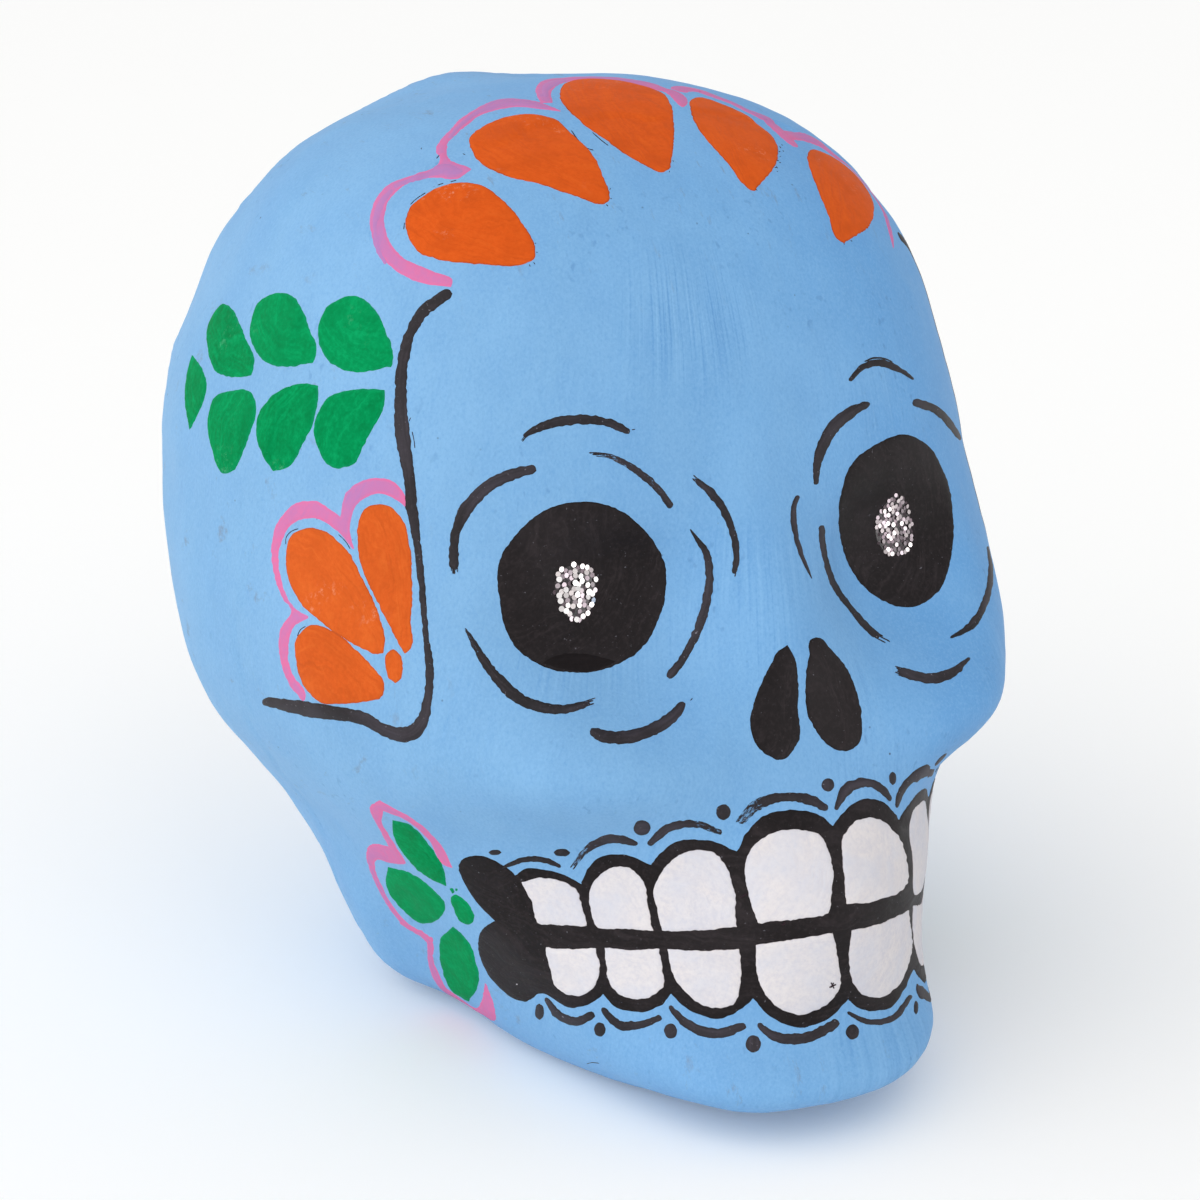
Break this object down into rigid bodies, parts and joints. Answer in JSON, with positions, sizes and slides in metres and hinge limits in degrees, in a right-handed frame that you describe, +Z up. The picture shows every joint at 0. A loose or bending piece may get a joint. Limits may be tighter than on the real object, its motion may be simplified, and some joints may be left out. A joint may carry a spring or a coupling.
{
  "type": "sugar skull",
  "caption": "Life-size painted papier-mache sugar skull, a hollow shell that rests on its flat jaw, with glitter in the eyes.",
  "frame": {"origin": "on the floor the skull rests on, below the centre of its bounding box", "axes": "+Z up, -Y the way the face looks, +X the skull's left side"},
  "size_m": [0.1618, 0.18, 0.1759],
  "materials": {
    "painted_paper": "satin acrylic paint over papier-mache",
    "pasted_strip": "satin acrylic paint over torn paper strips",
    "glitter": "silver glitter flakes in clear glue"
  },
  "bodies": {
    "root": {"face_half": "painted_paper", "back_half": "painted_paper", "seam_strip_right_1": "pasted_strip", "seam_strip_right_2": "pasted_strip", "seam_strip_right_3": "pasted_strip", "seam_strip_right_4": "pasted_strip", "seam_strip_right_5": "pasted_strip", "seam_strip_right_6": "pasted_strip", "seam_strip_right_7": "pasted_strip", "seam_strip_right_8": "pasted_strip", "seam_strip_right_9": "pasted_strip", "seam_strip_left_1": "pasted_strip", "seam_strip_left_2": "pasted_strip", "seam_strip_left_3": "pasted_strip", "seam_strip_left_4": "pasted_strip", "seam_strip_left_5": "pasted_strip", "seam_strip_left_6": "pasted_strip", "seam_strip_left_7": "pasted_strip", "seam_strip_left_8": "pasted_strip", "seam_strip_left_9": "pasted_strip", "glitter_dot_right": "glitter", "glitter_dot_left": "glitter"}
  },
  "joints": []
}
